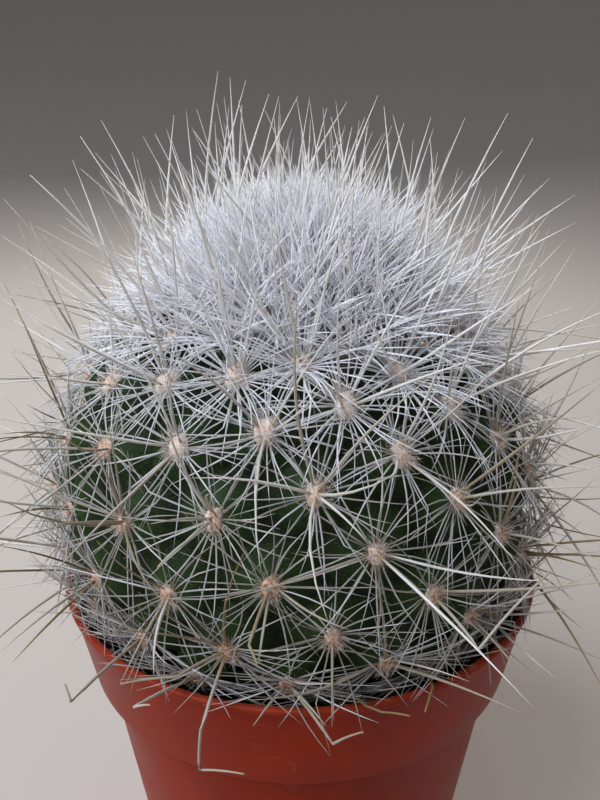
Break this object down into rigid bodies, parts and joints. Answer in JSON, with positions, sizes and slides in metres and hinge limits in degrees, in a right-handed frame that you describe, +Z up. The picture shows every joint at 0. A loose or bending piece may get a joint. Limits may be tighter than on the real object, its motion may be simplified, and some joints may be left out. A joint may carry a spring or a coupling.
{
  "type": "potted globular cactus",
  "caption": "Round white-spined cactus with low tubercles and a tuft of bristles at its tip, growing in soil in a small plastic nursery pot.",
  "frame": {"origin": "middle of the flat disc on the pot's underside, on the surface that the pot stands on", "axes": "+Z up along the pot's axis, -Y the front, +X to the right seen from the front"},
  "size_m": [0.1032, 0.1009, 0.1189],
  "materials": {
    "pot_plastic": "satin",
    "peat_soil": "matte",
    "cactus": "matte"
  },
  "bodies": {
    "root": {"pot": "pot_plastic", "soil": "peat_soil", "cactus": "cactus"}
  },
  "joints": []
}
